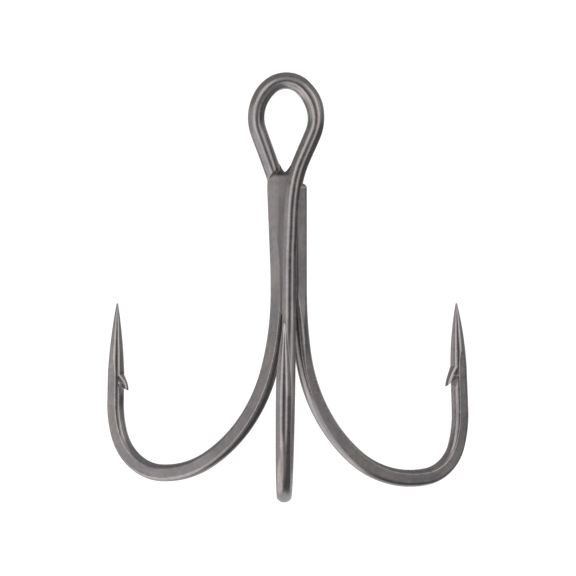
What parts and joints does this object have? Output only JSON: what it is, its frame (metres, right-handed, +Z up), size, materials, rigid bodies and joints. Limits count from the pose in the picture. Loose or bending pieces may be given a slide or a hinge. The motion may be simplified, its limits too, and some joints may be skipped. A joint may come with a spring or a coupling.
{
  "type": "treble hook",
  "caption": "Brazed treble fishing hook with a closed teardrop eye and barbed points, for hanging under a lure on a split ring.",
  "frame": {"origin": "centre of the eye's opening, level with its widest part, where the split ring passes", "axes": "+Z up along the shank towards the eye, -Y towards the front hook, so the eye's opening faces along Y"},
  "size_m": [0.0294, 0.026, 0.0338],
  "materials": {
    "hook_wire": "black nickel plating, smooth, with a fine satin grain on the forged flats",
    "braze": "braze under the same black nickel plating, slightly uneven"
  },
  "bodies": {
    "root": {"double_hook": "hook_wire", "single_hook": "hook_wire", "front_left_braze": "braze", "front_right_braze": "braze", "back_braze": "braze"}
  },
  "joints": []
}
